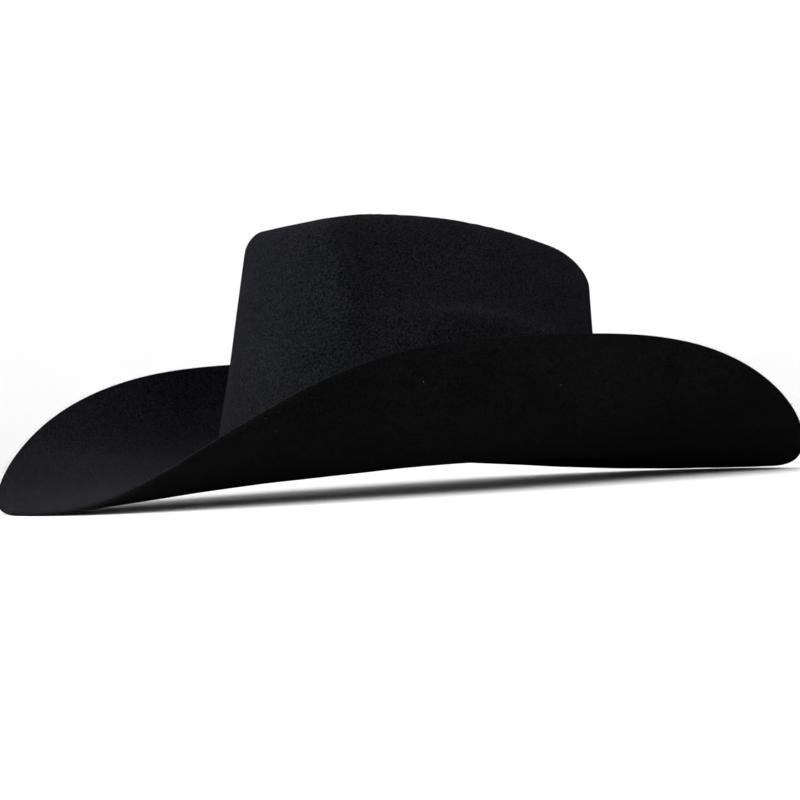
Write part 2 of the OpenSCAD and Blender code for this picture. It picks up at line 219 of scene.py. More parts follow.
def brim_point(phi, s):
    """Break line of the oval, moved outward and up by the section's run."""
    (x, y), (nx, ny), (out, up) = oval(phi), outward(phi), brim_run(phi, s)
    return np.stack([x * HALF_WIDTH + nx * out, y * HALF_LENGTH + ny * out, break_z(phi) + up], -1)


def ridge_at(y):
    return mix(RIDGE_X_FRONT, RIDGE_X, ease((y + 90 * MM) / (80 * MM)))


def top_z(x, y):
    """Height of the crown's top: a ridge curve along y, less a sine-squared crease between the ridges,
    less side dents that ease in outside the ridges."""
    fore = np.maximum(RIDGE_PEAK_Y - y, 0) / (RIDGE_END + RIDGE_PEAK_Y)
    aft = np.maximum(y - RIDGE_PEAK_Y, 0) / (RIDGE_END - RIDGE_PEAK_Y)
    ridge = RIDGE_HEIGHT - RIDGE_FALLS[0] * fore ** RIDGE_POWERS[0] - RIDGE_FALLS[1] * aft ** RIDGE_POWERS[1]
    inside = np.clip(1 - np.abs(x) / ridge_at(y), 0, 1)
    crease = (shape().crease_depth * ease((CREASE_ENDS[1] - y) / CREASE_RUN)
              * ease((y - CREASE_ENDS[0]) / CREASE_RUN) * np.sin(np.pi / 2 * inside) ** 2)
    dent = (shape().dent_depth * ease((y - DENT_FRONT) / DENT_FRONT_RUN)
            * ease((np.abs(x) - ridge_at(y)) / DENT_WIDTH))
    return ridge - crease - dent


def crown_point(phi, up, out):
    """Crown point from its share of the height and its distance from the middle: the oval leans in
    with height, and the height is a share of the top's."""
    x, y = oval(phi)
    h = CROWN_HEIGHT * up
    x = out * x * (HALF_WIDTH - LEANS[2] * h)
    y = out * y * (HALF_LENGTH - at_end(phi, LEANS[:2]) * h)
    return np.stack([x, y, break_z(phi) * (1 - up) + up * top_z(x, y)], -1)


def crown_row(phi, w, q=0.0, u=0.0):
    """Crown point at wall share w, corner turn q (a quarter circle) and top share u."""
    nx, _ = outward(phi)
    r = mix(at_end(phi, CORNERS[:2]), CORNERS[2], nx**2)
    rz, rx = r / CROWN_HEIGHT, r / HALF_WIDTH
    return crown_point(phi, (1 - rz) * w + rz * np.sin(q), 1 - rx * (1 - np.cos(q)) - (1 - rx) * u)


def wall_point(phi, z, d):
    """Point z above the break line and d out from the wall: the share of the height is found by
    repeating z over the height that it gives."""
    phi, z, d = np.broadcast_arrays(*(np.asarray(v, float) for v in (phi, z, d)))
    up = np.full(phi.shape, 0.1)
    for _ in range(5):
        up = up * z / (crown_point(phi, up, 1)[..., 2] - break_z(phi))
    return crown_point(phi, up, 1) + aside(phi, d)


def carried(phi, outline, out=0.0, rise=0.0):
    """Sections of an outline (d, z) at these angles round the wall, moved out and up."""
    d, z = outline.T
    return wall_point(phi[:, None], z[None] + rise, d[None] + out)


def bend_point(phi, q):
    """Quarter circle that joins wall and brim, from q = 0 on the wall."""
    out, up = BREAK_RADIUS * (1 - np.cos(q)), BREAK_RADIUS * (1 - np.sin(q)) / CROWN_HEIGHT
    nx, ny = outward(phi)
    rise = brim_run(phi, BREAK_RADIUS / BRIM_WIDTHS[2] + 0 * phi)[1] * q / (np.pi / 2)
    return crown_point(phi, up, 1) + np.stack([nx * out, ny * out, rise], -1)


def felt_rows(columns, brim, bend, wall, corner, top):
    """Outer felt surface as rows of points, from the brim's edge to the middle of the crown's top."""
    phi = round_turn(columns)

    def over(make, shares):
        return make(*np.broadcast_arrays(phi[None, :], np.asarray(shares, float)[:, None]))

    start, bend_top = BREAK_RADIUS / BRIM_WIDTHS[2], 0.06  # shares of the brim's width and of the wall
    parts = [
        over(brim_point, mix(1, start, np.arange(brim) / brim)),
        over(bend_point, np.linspace(np.pi / 2, 0, bend)),
        over(crown_row, mix(bend_top, 1, np.arange(1, wall + 1) / wall)),
        over(lambda p, q: crown_row(p, 1, q), np.pi / 2 * np.arange(1, corner + 1) / corner),
        over(lambda p, u: crown_row(p, 1, np.pi / 2, u), np.arange(1, top) / top),
    ]
    return np.concatenate(parts)


def row_normals(rows):
    """Outward unit normals of rows of points that close round the hat, from central differences."""
    round_hat = np.roll(rows, -1, 1) - np.roll(rows, 1, 1)
    up_rows = np.gradient(rows, axis=0)
    return unit(np.cross(round_hat, up_rows))


def waves(p, seed, longest=0.16, octaves=4):
    """Smooth uneven field, about -1 to 1: a sum of plane sine waves with random directions."""
    rng = np.random.default_rng(seed)
    total = np.zeros(p.shape[:-1])
    for k in range(octaves):
        for _ in range(3):
            direction = rng.normal(size=3)
            direction *= TURN / (longest / 1.7**k) / np.linalg.norm(direction)
            total += np.sin(p @ direction + rng.uniform(0, TURN)) / 1.6**k
    return total / 3.5


def worn_rows(*counts):
    """Felt rows moved along their normals by uneven waves, and those normals. The waves die out where the
    band, the sweatband and the floor touch the felt."""
    rows = felt_rows(*counts)
    normals = row_normals(rows)
    still_z, fade = 12 * MM, 30 * MM
    away = np.clip(np.abs(rows[..., 2] - still_z) / fade, 0, 1) ** 0.5
    return rows + (shape().wave * away * waves(rows, 5))[..., None] * normals, normals


# ---- meshes from grids of points ----


def grid_faces(rows, columns, close_rows=False):
    """Quads of a grid of points stored row by row, each row a closed ring, wound so that rows x columns
    points outward."""
    r, c = np.meshgrid(np.arange(rows - (not close_rows)), np.arange(columns), indexing="ij")
    r2, c2 = (r + 1) % rows, (c + 1) % columns
    near, far = r * columns, r2 * columns
    return np.stack([near + c, near + c2, far + c2, far + c], -1).reshape(-1, 4)


def fans(centre, ring, flip=False):
    """Triangles from a centre point to a closed ring of indices."""
    a, b = (ring, np.roll(ring, -1)) if not flip else (np.roll(ring, -1), ring)
    return np.stack([np.full(len(ring), centre), a, b], -1)


def linked(name, data):
    """New object of the scene that shows this data."""
    obj = bpy.data.objects.new(name, data)
    bpy.context.scene.collection.objects.link(obj)
    return obj


def make_object(name, points, quads, tris=None, attributes=None, material=None, seated=True, slots=None):
    """Mesh object from whole arrays of points and faces, smooth shaded and in the row frame. With slots,
    material is a list and slots holds each face's place in it."""
    points = np.asarray(points, float).reshape(-1, 3) + (SEAT if seated else 0)
    tris = np.zeros((0, 3), int) if tris is None else np.asarray(tris, int).reshape(-1, 3)
    quads = np.asarray(quads, int).reshape(-1, 4)
    loops = np.concatenate([quads.ravel(), tris.ravel()]).astype(np.int32)
    starts = np.concatenate([np.arange(len(quads)) * 4, len(quads) * 4 + np.arange(len(tris)) * 3])
    mesh = bpy.data.meshes.new(name)
    mesh.vertices.add(len(points))
    mesh.vertices.foreach_set("co", points.astype(np.float32).ravel())
    mesh.loops.add(len(loops))
    mesh.loops.foreach_set("vertex_index", loops)
    mesh.polygons.add(len(starts))
    mesh.polygons.foreach_set("loop_start", starts.astype(np.int32))
    mesh.update(calc_edges=True)
    mesh.validate()
    mesh.shade_smooth()
    for key, values in (attributes or {}).items():
        attribute = mesh.attributes.new(key, "FLOAT", "POINT")
        attribute.data.foreach_set("value", np.asarray(values, np.float32).ravel())
    for each in material if isinstance(material, list) else [material]:
        mesh.materials.append(each)
    if slots is not None:
        mesh.polygons.foreach_set("material_index", np.asarray(slots, np.int32))
    return linked(name, mesh)


def capped(sections, poles=None):
    """Points, quads and triangles of a solid along sections of points (station, corner, xyz), with its two
    end sections closed by fans from two poles, or else from their middles."""
    stations, corners = sections.shape[:2]
    total, ring = stations * corners, np.arange(corners)
    tris = np.concatenate([fans(total, ring, True), fans(total + 1, total - corners + ring)])
    points = np.concatenate([sections.reshape(-1, 3), sections[[0, -1]].mean(1) if poles is None else poles])
    return points, grid_faces(stations, corners), tris


def closed_strip(name, sections, ring=True, **kwargs):
    """Solid from sections of points, each a closed outline. The strip closes round the hat, or has its
    two ends capped."""
    if ring:
        return make_object(name, sections, grid_faces(*sections.shape[:2], True), **kwargs)
    return make_object(name, *capped(sections), **kwargs)


def rounded(d0, d1, z0, z1, radius, per_corner=4):
    """Closed outline of a rounded rectangle as (d, z), clockwise from its inner side."""
    turn = np.linspace(0, np.pi / 2, per_corner)
    corners = [(d0 + radius, z0 + radius, np.pi * 1.5), (d0 + radius, z1 - radius, np.pi),
               (d1 - radius, z1 - radius, np.pi / 2), (d1 - radius, z0 + radius, 0.0)]
    return np.concatenate([np.stack([d + radius * np.cos(a - turn), z + radius * np.sin(a - turn)], -1)
                           for d, z, a in corners])


def tubes(starts, ends, radius, lift, sides=8, rings=7):
    """Many short thread stitches at once: each is a tube between two points that thins to nothing at
    both ends (half an ellipse) and sinks there by lift, a vector for each stitch."""
    starts, ends, lift = (np.asarray(v, float)[:, None, None, :] for v in (starts, ends, lift))
    t = np.linspace(0, 1, rings)[None, :, None, None]
    a = round_turn(sides)[None, None, :, None]
    up = unit(lift)
    across = np.cross(unit(ends - starts), up)
    size = radius * np.sqrt(np.clip(1 - (2 * t - 1) ** 6, 0, 1) + 1e-4)
    sag = -lift * (2 * t - 1) ** 4
    points = starts + (ends - starts) * t + sag + size * (np.cos(a) * across + np.sin(a) * up)
    count = points.shape[0]
    _, quads, tris = capped(points[0])
    caps = np.concatenate([(starts + sag[:, :1])[:, 0], (ends + sag[:, -1:])[:, 0]], 1)
    points = np.concatenate([points.reshape(count, -1, 3), caps], 1)
    step = (np.arange(count) * points.shape[1])[:, None, None]
    quads, tris = (faces[None, :, ::-1] + step for faces in (quads, tris))
    return points.reshape(-1, 3), quads.reshape(-1, 4), tris.reshape(-1, 3)


# ---- materials ----


def linear(code):
    """Linear colour with alpha from an sRGB hex code."""
    c = np.array([int(code[k:k + 2], 16) for k in (1, 3, 5)]) / 255
    return (*np.where(c <= 0.04045, c / 12.92, ((c + 0.055) / 1.055) ** 2.4), 1.0)


def node(tree, kind, inputs=None, **settings):
    """Adds a shader node, sets its properties, and sets or links its inputs."""
    made = tree.nodes.new("ShaderNode" + kind)
    for key, value in settings.items():
        setattr(made, key, value)
    for key, value in (inputs or {}).items():
        if isinstance(value, bpy.types.NodeSocket):
            tree.links.new(value, made.inputs[key])
        else:
            made.inputs[key].default_value = value
    return made


def new_material(name, **constants):
    """Material with constants of its Principled shader set, its node tree and its object coordinates."""
    material = bpy.data.materials.new(name)
    material.use_nodes = True
    tree = material.node_tree
    for key, value in constants.items():
        tree.nodes["Principled BSDF"].inputs[key.replace("_", " ")].default_value = value
    return material, tree, node(tree, "TexCoord").outputs["Object"]


def surface(material, *bumps, **links):
    """Links sockets to the Principled shader of a material, and stacks bump layers of (height socket,
    distance in metres, strength) onto its normal."""
    tree = material.node_tree
    inputs = tree.nodes["Principled BSDF"].inputs
    for height, distance, strength in bumps:
        layer = node(tree, "Bump", {"Height": height, "Distance": distance, "Strength": strength})
        if "Normal" in links:
            tree.links.new(links["Normal"], layer.inputs["Normal"])
        links["Normal"] = layer.outputs["Normal"]
    for key, value in links.items():
        tree.links.new(value, inputs[key.replace("_", " ")])
    return material


def noise(tree, vector, scale, detail=3.0, rough=0.6):
    inputs = {"Vector": vector, "Scale": scale, "Detail": detail, "Roughness": rough}
    return node(tree, "TexNoise", inputs).outputs["Fac"]


def remap(tree, value, low, high, to_low, to_high):
    inputs = {"Value": value, "From Min": low, "From Max": high, "To Min": to_low, "To Max": to_high}
    return node(tree, "MapRange", inputs).outputs["Result"]


def maths(tree, operation, *values):
    return node(tree, "Math", dict(enumerate(values)), operation=operation).outputs[0]


def shaded(tree, colour, shade):
    """Linear colour times a shade that varies over the piece."""
    return node(tree, "VectorMath", {0: colour[:3], "Scale": shade}, operation="SCALE").outputs[0]


def voronoi(tree, vector, scale, feature="F1"):
    return node(tree, "TexVoronoi", {"Vector": vector, "Scale": scale}, feature=feature).outputs["Distance"]


def bands(tree, vector, scale, distortion, direction):
    inputs = {"Vector": vector, "Scale": scale, "Distortion": distortion}
    return node(tree, "TexWave", inputs, bands_direction=direction).outputs["Fac"]


def stretch(tree, vector, scale):
    return node(tree, "Mapping", {"Vector": vector, "Scale": scale}).outputs[0]


def blend(tree, factor, a, b):
    """Mix of two colours, each a socket or a constant."""
    return node(tree, "Mix", {0: factor, 6: a, 7: b}, data_type="RGBA").outputs[2]


def fur_felt(name, colour, sheen, speckle):
    """Fur felt. The eye sees a matt black that greys a little at grazing angles where short fibres catch
    the light, a fine speckle of fibre ends, and a few specks of lint. Pressed felt has less of both; the
    underside's copy is also given a darker colour, which is painted shade."""
    material, tree, at = new_material(
        name, Roughness=1.0, IOR=1.5, Specular_IOR_Level=0.0, Sheen_Weight=sheen, Sheen_Roughness=0.5,
        Sheen_Tint=linear("#C9CCDC"))
    nap = noise(tree, at, 1 / (1.1 * MM), 3, 0.8)
    mottle = noise(tree, at, 1 / (45 * MM), 3)
    fine = remap(tree, nap, 0.39, 0.63, 1 - speckle, 1 + 1.5 * speckle)
    soft = remap(tree, mottle, 0.3, 0.7, 0.85, 1.15)
    felt = shaded(tree, linear(colour), maths(tree, "MULTIPLY", fine, soft))
    lint = remap(tree, voronoi(tree, at, 1 / (16 * MM)), 0.02, 0.01, 0.0, 0.12)
    colour = blend(tree, lint, felt, linear("#B8B8BC"))
    fibres = noise(tree, stretch(tree, at, (1.0, 0.45, 1.0)), 1 / (0.8 * MM), 5, 0.8)
    return surface(material, (mottle, 0.6 * MM, 0.25), (fibres, 0.5 * MM, 1.0), Base_Color=colour)


def leather(name, colour, roughness, grain, depth, coat):
    """Leather. The eye sees small domed cells with fine creases between them, a soft uneven gloss and
    slightly darker hollows."""
    material, tree, at = new_material(
        name, Roughness=roughness, IOR=1.5, Specular_IOR_Level=0.3, Coat_Weight=coat, Coat_Roughness=0.35)
    cells = voronoi(tree, at, 1 / grain, "SMOOTH_F1")
    wear = noise(tree, at, 1 / (18 * MM), 5)
    tint = remap(tree, wear, 0.3, 0.7, 0.72, 1.2)
    pits = remap(tree, cells, 0.1, 0.7, 1.08, 0.72)
    tone = shaded(tree, linear(colour), maths(tree, "MULTIPLY", tint, pits))
    gloss = remap(tree, wear, 0.3, 0.7, roughness + 0.08, roughness - 0.06)
    folds = noise(tree, at, 1 / (6 * MM), 3)
    return surface(material, (folds, 0.3 * MM, 0.3), (cells, -depth, 0.6), Base_Color=tone, Roughness=gloss)


def satin_metal():
    """Satin nickel. The eye sees a soft bright reflection, streaked along the brushing, with faint
    handling marks."""
    material, tree, at = new_material(
        "satin_nickel", Metallic=1.0, Roughness=0.28, Base_Color=linear(colours().metal), Anisotropic=0.35)
    streaks = noise(tree, stretch(tree, at, (1.0, 0.04, 1.0)), 1 / (0.12 * MM), 3)
    marks = noise(tree, at, 1 / (5 * MM), 4)
    brushing, handling = remap(tree, streaks, 0.3, 0.7, 0.18, 0.3), remap(tree, marks, 0.4, 0.7, 0.0, 0.1)
    return surface(material, (streaks, 0.01 * MM, 0.35), Roughness=maths(tree, "ADD", brushing, handling))


def satin():
    """Lining satin. The eye sees broad soft highlights across the folds and, close up, fine threads."""
    material, tree, at = new_material(
        "lining_satin", Roughness=0.36, Sheen_Weight=0.25, Sheen_Roughness=0.3, Anisotropic=0.5)
    threads = bands(tree, at, 1 / (2.2 * MM), 0.6, "Z")
    shade = remap(tree, noise(tree, at, 1 / (30 * MM), 3), 0.3, 0.7, 0.85, 1.15)
    puckers = noise(tree, at, 1 / (9 * MM), 2)
    return surface(material, (puckers, 0.5 * MM, 0.3), (threads, 0.02 * MM, 0.4),
                   Base_Color=shaded(tree, linear(colours().lining), shade))


def grosgrain():
    """Grosgrain ribbon. The eye sees regular cross ribs with a dull silk gloss. The ribs follow the piece's
    own distance along the ribbon."""
    material, tree, at = new_material("grosgrain", Roughness=0.6, Sheen_Weight=0.3)
    along = node(tree, "Attribute", attribute_name="along").outputs["Fac"]
    ribs = maths(tree, "SINE", maths(tree, "MULTIPLY", along, TURN / (0.9 * MM)))
    colour = shaded(tree, linear("#1C1A1A"), remap(tree, ribs, -1, 1, 0.6, 1.15))
    unevenness = noise(tree, at, 1 / (4 * MM), 3)
    return surface(material, (unevenness, 0.1 * MM, 0.3), (ribs, 0.08 * MM, 0.8), Base_Color=colour)


def waxed_thread():
    """Sewing thread. The eye sees two twisted plies with a faint wax gloss."""
    material, tree, at = new_material("waxed_thread", Roughness=0.5, Sheen_Weight=0.2)
    twist = bands(tree, at, 1 / (5 * MM), 1.0, "DIAGONAL")
    plies = blend(tree, twist, linear("#8F7448"), linear(colours().thread))
    return surface(material, (twist, 0.08 * MM, 0.7), Base_Color=plies)


def clear_vinyl():
    """Clear vinyl. The eye sees the lining through it and a few soft reflections from its ripples."""
    material, tree, at = new_material(
        "clear_vinyl", Base_Color=linear("#F4F7F8"), Roughness=0.06, IOR=1.53, Transmission_Weight=1.0)
    return surface(material, (noise(tree, at, 1 / (14 * MM), 2), 0.4 * MM, 0.4))


def reed_plastic():
    """Plain white plastic. The eye sees an even, dull white that varies a little along the reed."""
    material, tree, at = new_material("reed_plastic", Roughness=0.45, IOR=1.49)
    shade = remap(tree, noise(tree, at, 1 / (3 * MM), 2), 0.3, 0.7, 0.9, 1.05)
    return surface(material, Base_Color=shaded(tree, linear("#E4E2DA"), shade))


def woven_label():
    """Woven label cloth. The eye sees a tight over-and-under weave, blank and slightly yellowed."""
    material, tree, at = new_material("woven_label", Roughness=0.7, Sheen_Weight=0.2)
    weave = node(tree, "TexChecker", {"Vector": at, "Scale": 1 / (0.35 * MM)}).outputs["Fac"]
    cloth = blend(tree, weave, linear("#C9C3B2"), linear("#DDD8C9"))
    return surface(material, (weave, 0.05 * MM, 0.6), Base_Color=cloth)


def place(obj, slot, *nodes):
    """Rides on the hat and stands for these CAD nodes. The slot argument is not used."""
    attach(obj, "hat")
    if nodes:
        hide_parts(*nodes)


def paint(name, material):
    """Gives its material to a CAD piece that keeps its shape."""
    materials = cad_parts[name].data.materials
    materials.clear()
    materials.append(material)


class PieceOperator(bpy.types.Operator):
    """Base of the operators that build one piece or one group of like pieces."""

    bl_options = {"REGISTER", "UNDO"}

    def execute(self, context):
        self.build()
        return {"FINISHED"}


class HAT_OT_felt(PieceOperator):
    """Blocked felt body: crown and brim with a rounded cut edge"""

    bl_idname = "hat.felt"
    bl_label = "Felt body"

    def build(self):
        """The inner rows lie one felt thickness inside the outer ones. Half a circle joins them at the
        brim's edge."""
        columns, brim_rows, bend_rows, wall_rows, corner_rows, top_rows = 336, 48, 6, 26, 12, 26
        rows, normals = worn_rows(columns, brim_rows, bend_rows, wall_rows, corner_rows, top_rows)
        index = np.arange(len(rows))
        felt = mix(BRIM_FELT, CROWN_FELT, np.clip((index - brim_rows) / bend_rows, 0, 1))
        inner = rows - normals * felt[:, None, None]
        turn = np.linspace(0, np.pi, 9)[1:-1][:, None, None]
        middle, half = (rows[0] + inner[0]) / 2, (rows[0] - inner[0]) / 2
        off = unit(np.cross(normals[0], np.roll(rows[0], -1, 0) - np.roll(rows[0], 1, 0)))
        off *= np.sign(((rows[0] - rows[2]) * off).sum(-1, keepdims=True))
        bulge = 0.42 * BRIM_FELT
        edge = middle - half * np.cos(turn) + off * np.sin(turn) * bulge
        grid = np.concatenate([inner[::-1], edge, rows])
        top = top_z(0.0, 0.0)
        points, quads, tris = capped(grid, [[0, 0, top - CROWN_FELT], [0, 0, top]])
        # faces of the inner rows, up to the middle of the cut edge, are the pressed underside; its darker
        # felt colour is painted shade
        under = np.concatenate([np.arange(len(quads)) < (len(rows) + len(edge) // 2) * columns,
                                np.arange(len(tris)) < columns])
        # the second felt is the underside: less sheen and speckle for its pressed nap, and a darker colour
        # that is painted shade
        felts = [fur_felt("fur_felt", colours().felt, sheen=0.02, speckle=0.9),
                 fur_felt("pressed_felt_painted_shade", colours().felt_under_painted_shade, sheen=0.006, speckle=0.5)]
        obj = make_object("felt_body_shell", points, quads, tris, material=felts, slots=under)
        place(obj, "felt", "felt_body")


class HAT_OT_edge_fibres(PieceOperator):
    """Loose fibres that stand out along the cut edge of the brim"""

    bl_idname = "hat.edge_fibres"
    bl_label = "Edge fibres"

    def build(self):
        """Each fibre is a flat strip of two quads that narrows to its tip, rooted at a random point of the
        edge and bent a little from a direction between the edge's outward direction and the normal."""
        count = shape().fibre_count
        if count == 0:
            return
        rng = np.random.default_rng(11)
        phi = rng.uniform(0, TURN, count)
        root, back = brim_point(phi, np.ones(count)), brim_point(phi, np.full(count, 0.99))
        beside = brim_point(phi + 0.002, np.ones(count))
        out = unit(root - back)
        normal = np.cross(unit(beside - root), out)
        angle = rng.uniform(-1.3, 1.3, count)[:, None]
        depth = BRIM_FELT / 2
        away = np.cos(angle) * out + np.sin(angle) * normal
        root = root - normal * depth + away * depth * 0.9
        away = unit(away + rng.normal(scale=0.55, size=(count, 3)))
        length = rng.gamma(3.0, 0.22 * MM, count).clip(0.2 * MM, 1.8 * MM)[:, None]
        bent = unit(away + rng.normal(scale=0.45, size=(count, 3)))
        half_width = 0.022 * MM
        wide = unit(np.cross(away, rng.normal(size=(count, 3)))) * half_width
        middle = root + away * length * 0.55
        tip = middle + bent * length * 0.45
        points = np.stack([root - wide, root + wide, middle - wide * 0.8, middle + wide * 0.8,
                           tip - wide * 0.3, tip + wide * 0.3], 1)
        quads = np.array([[0, 1, 3, 2], [2, 3, 5, 4]])[None] + (np.arange(count) * 6)[:, None, None]
        obj = make_object("brim_edge_fibres", points, quads, material=bpy.data.materials["fur_felt"])
        place(obj, "felt")


class HAT_OT_band(PieceOperator):
    """Leather strap round the crown that ends by lying over its own start"""

    bl_idname = "hat.band"
    bl_label = "Hat band"

    def build(self):
        """A rounded outline with a shallow crease line near each edge is carried round the wall. Its
        distance from the wall eases from the lower to the upper layer inside the buckle."""
        start, stop, finer = phi_at(HEEL_Y + 3 * MM), TURN + phi_at(STRAP_REACH), TURN + 1.2
        phi = np.concatenate([np.linspace(start, finer, 260), np.linspace(finer, stop, 60)[1:]])
        rise0, rise1 = phi_at(TOE_Y + 4 * MM), phi_at(HEEL_Y - 3 * MM)
        low = mix(STRAP_LOW, STRAP_HIGH, ease((phi - TURN - rise0) / (rise1 - rise0)))
        z0, z1 = STRAP_MID - STRAP_HEIGHT / 2, STRAP_MID + STRAP_HEIGHT / 2
        outline = rounded(0, STRAP_THICK, z0, z1, 0.5 * MM)
        face = np.linspace(z1 - 0.7 * MM, z0 + 0.7 * MM, 60)
        from_edge = np.minimum(z1 - face, face - z0)
        groove_at, groove_half, inset = 2.0 * MM, 0.35 * MM, 2.2 * MM
        groove = 0.28 * MM * np.exp(-(((from_edge - groove_at) / groove_half) ** 2))
        crown = 0.25 * MM * np.sin(np.pi * np.clip((from_edge - inset) / (STRAP_HEIGHT - 2 * inset), 0, 1))
        face = np.stack([STRAP_THICK - groove + crown, face], 1)
        outline = np.concatenate([outline[:12], face, outline[12:]])
        sections = carried(phi, outline, low[:, None])
        hide = leather("bridle_leather", colours().strap, 0.45, 0.55 * MM, 0.12 * MM, 0.03)
        obj = closed_strip("hat_band_strap", sections, ring=False, material=hide)
        self.cut_slot(obj)
        place(obj, "strap_leather", "hat_band")

    def cut_slot(self, obj):
        """Takes the tongue's slot out of the strap: a capsule outline carried along the wall's outward
        direction, at the middle of the strap's height."""
        foot, top = (wall_point(TURN / 4, STRAP_MID + dz, 0) for dz in (-8 * MM, 8 * MM))
        up = unit(top - foot)
        out = np.cross([0.0, 1.0, 0.0], up)
        turn = np.linspace(-np.pi / 2, np.pi / 2, 13)
        ends = [np.stack([y + side * SLOT_HALF * np.cos(turn), side * SLOT_HALF * np.sin(turn)], -1)
                for y, side in ((HEEL_Y + 3 * MM, 1), (TOE_Y + 6 * MM, -1))]
        outline = np.concatenate(ends)
        across = np.array([0.0, 1.0, 0.0]) * outline[:, :1] + up * outline[:, 1:]
        sections = (foot + top) / 2 + across[None] + out * np.array([0.1 * MM, 8 * MM])[:, None, None]
        cutter = closed_strip("slot_cutter", sections, ring=False)
        modifier = obj.modifiers.new("slot", "BOOLEAN")
        modifier.object, modifier.solver = cutter, "EXACT"
        finished = obj.evaluated_get(bpy.context.evaluated_depsgraph_get())
        slotted = bpy.data.meshes.new_from_object(finished)
        obj.modifiers.clear()
        obj.data = slotted
        bpy.data.objects.remove(cutter)


class HAT_OT_buckle(PieceOperator):
    """Buckle, its tongue, the keeper loop and the cap on the strap's free end"""

    bl_idname = "hat.buckle"
    bl_label = "Buckle set"

    def build(self):
        """The buckle and its tongue keep their CAD shape. The keeper is a rounded outline carried round
        the strap's section, and the cap a rounded outline that narrows towards its end."""
        metal = satin_metal()
        for name in ("band_buckle", "buckle_tongue"):
            paint(name, metal)
        place(self.keeper(metal), "buckle_metal", "band_keeper")
        place(self.cap(metal), "buckle_metal", "band_tip")

    def keeper(self, metal):
        """Loop: a rounded rectangle in the strap's section, thickened by a narrow rounded outline."""
        half = STRAP_HEIGHT / 2 + 0.9 * MM
        near, far = 0.55 * MM, STRAP_HIGH + STRAP_THICK + 0.65 * MM
        path = rounded(near, far, STRAP_MID - half, STRAP_MID + half, 1.2 * MM, 8)
        step = np.roll(path, -1, 0) - np.roll(path, 1, 0)
        side = unit(np.stack([-step[:, 1], step[:, 0]], -1))
        side *= np.sign(((path - path.mean(0)) * side).sum(1, keepdims=True))
        a = round_turn(16)
        thick = 0.38 * MM * spow(np.cos(a), 0.7)
        points = path[:, None, :] + side[:, None, :] * thick[None, :, None]
        phi = phi_at(KEEPER_Y + KEEPER_HALF * spow(np.sin(a), 0.35))
        sections = wall_point(phi[None, :], points[..., 1], points[..., 0])
        return closed_strip("strap_keeper_loop", sections[::-1], material=metal)

    def cap(self, metal):
        """Cap: the outline's half height falls with the cube of the distance, and closes at the end."""
        t = np.linspace(0, 1, 40) ** 0.8
        half = (STRAP_HEIGHT / 2 + 0.9 * MM) - 6 * MM * t**3
        end = np.sqrt(np.clip(1 - np.clip((t - 0.9) / 0.1, 0, 1) ** 2, 0.02, 1))
        d_share, z_share = rounded(-1, 1, -1, 1, 0.22, 6).T
        d_mid, d_half = STRAP_HIGH + STRAP_THICK / 2 + 0.1 * MM, 1.35 * MM
        phi = phi_at(STRAP_REACH - 4 * MM + 13 * MM * t)
        swell = 0.3 * MM * np.clip(d_share, 0, 1) * (1 - z_share**2)
        d = d_mid + (d_half * d_share + swell) * end[:, None]
        z = STRAP_MID + z_share * (half * mix(0.8, 1, end))[:, None]
        return closed_strip("strap_tip_cap", wall_point(phi[:, None], z, d), ring=False, material=metal)


class HAT_OT_sweatband(PieceOperator):
    """Leather sweatband with its reed and ribbed tape"""

    bl_idname = "hat.sweatband"
    bl_label = "Sweatband"

    def build(self):
        """The sweatband is a rounded outline whose top leans in with the square of its height and waves a
        little. The tape's outline goes up behind it, round the reed and up in front of it."""
        gap = math.radians(0.15)
        phi = np.linspace(np.pi + gap, 3 * np.pi - gap, 420)
        outline = rounded(SWEAT_IN, SWEAT_OUT, SWEAT_BOTTOM, SWEAT_TOP, 0.5 * MM, 5)
        inner = np.linspace(SWEAT_BOTTOM + 0.6 * MM, SWEAT_TOP - 0.6 * MM, 30)
        outline = np.concatenate([outline[:5], np.stack([0 * inner + SWEAT_IN, inner], 1), outline[5:15],
                                  np.stack([0 * inner + SWEAT_OUT, inner[::-1]], 1), outline[15:]])
        share = np.clip(outline[:, 1] / SWEAT_TOP, 0, 1)
        sway = 0.6 * MM * np.sin(phi * 5 + 0.4)[:, None] + 0.5 * MM * np.sin(phi * 9 + 2)[:, None]
        lean = (SWEAT_LEAN + sway.clip(-0.9 * MM, 0.9 * MM)) * share[None] ** 2
        rise = 0.5 * MM * np.sin(phi * 3 + 1)[:, None] * share[None] ** 3
        sections = carried(phi, outline, -lean, rise)
        hide = leather("sweat_leather", colours().sweatband, 0.5, 0.9 * MM, 0.1 * MM, 0.08)
        obj = closed_strip("sweatband_leather", sections, ring=False, material=hide)
        place(obj, "sweat_leather", "sweatband")
        place(self.tape(), "tape_fabric", "reed_tape")
        paint("sweatband_reed", reed_plastic())

    def tape(self):
        """Outline of the tape, carried round the hat, with the distance along it kept for its ribs."""
        near = REED_RADIUS + 0.15 * MM
        far = near + TAPE_THICK
        turn = np.linspace(0, np.pi, 12)
        front = SWEAT_BOTTOM + 2 * MM
        outline = np.concatenate([
            np.stack([REED_D + far * np.cos(turn), REED_Z - far * np.sin(turn)], 1),
            [[REED_D - far, front], [REED_D - near, front]],
            np.stack([REED_D - near * np.cos(turn), REED_Z - near * np.sin(turn)], 1),
            [[REED_D + near, TAPE_TOP], [REED_D + far, TAPE_TOP]]])
        phi = round_turn(480)
        along = np.repeat(phi * (HALF_LENGTH + HALF_WIDTH) / 2, len(outline))
        return closed_strip("reed_tape_ribbon", carried(phi, outline), attributes={"along": along},
                            material=grosgrain())


